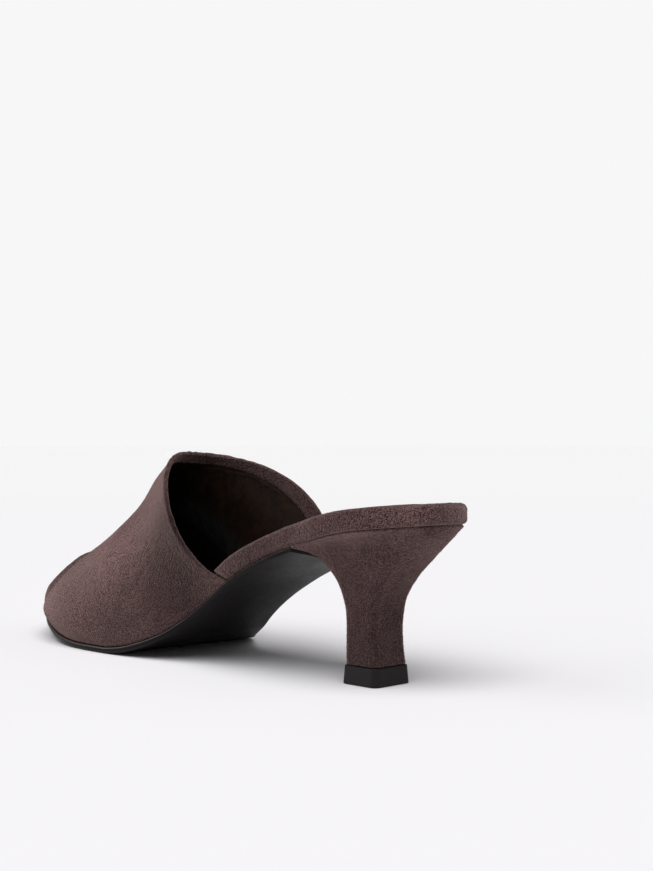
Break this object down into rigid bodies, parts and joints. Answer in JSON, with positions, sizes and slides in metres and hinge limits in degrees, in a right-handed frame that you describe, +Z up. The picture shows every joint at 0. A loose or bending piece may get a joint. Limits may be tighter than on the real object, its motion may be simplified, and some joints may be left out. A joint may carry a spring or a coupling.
{
  "type": "heeled mule",
  "caption": "Open-toe, open-back heeled mule: one wide moulded vamp on a wrapped footbed, thin outsole with arch and toe spring, flared heel with a flat top piece.",
  "frame": {"origin": "centre of the bounding box's bottom face, on the floor that the shoe stands on", "axes": "+Y towards the toe, +X towards the inner side of the foot, +Z up"},
  "size_m": [0.0758, 0.236, 0.0773],
  "materials": {
    "suede": "napped suede, matt",
    "sole": "smooth, satin",
    "top_piece": "satin"
  },
  "bodies": {
    "root": {"upper": "suede", "footbed": "suede", "heel": "suede", "outsole": "sole", "top_piece": "top_piece"}
  },
  "joints": []
}
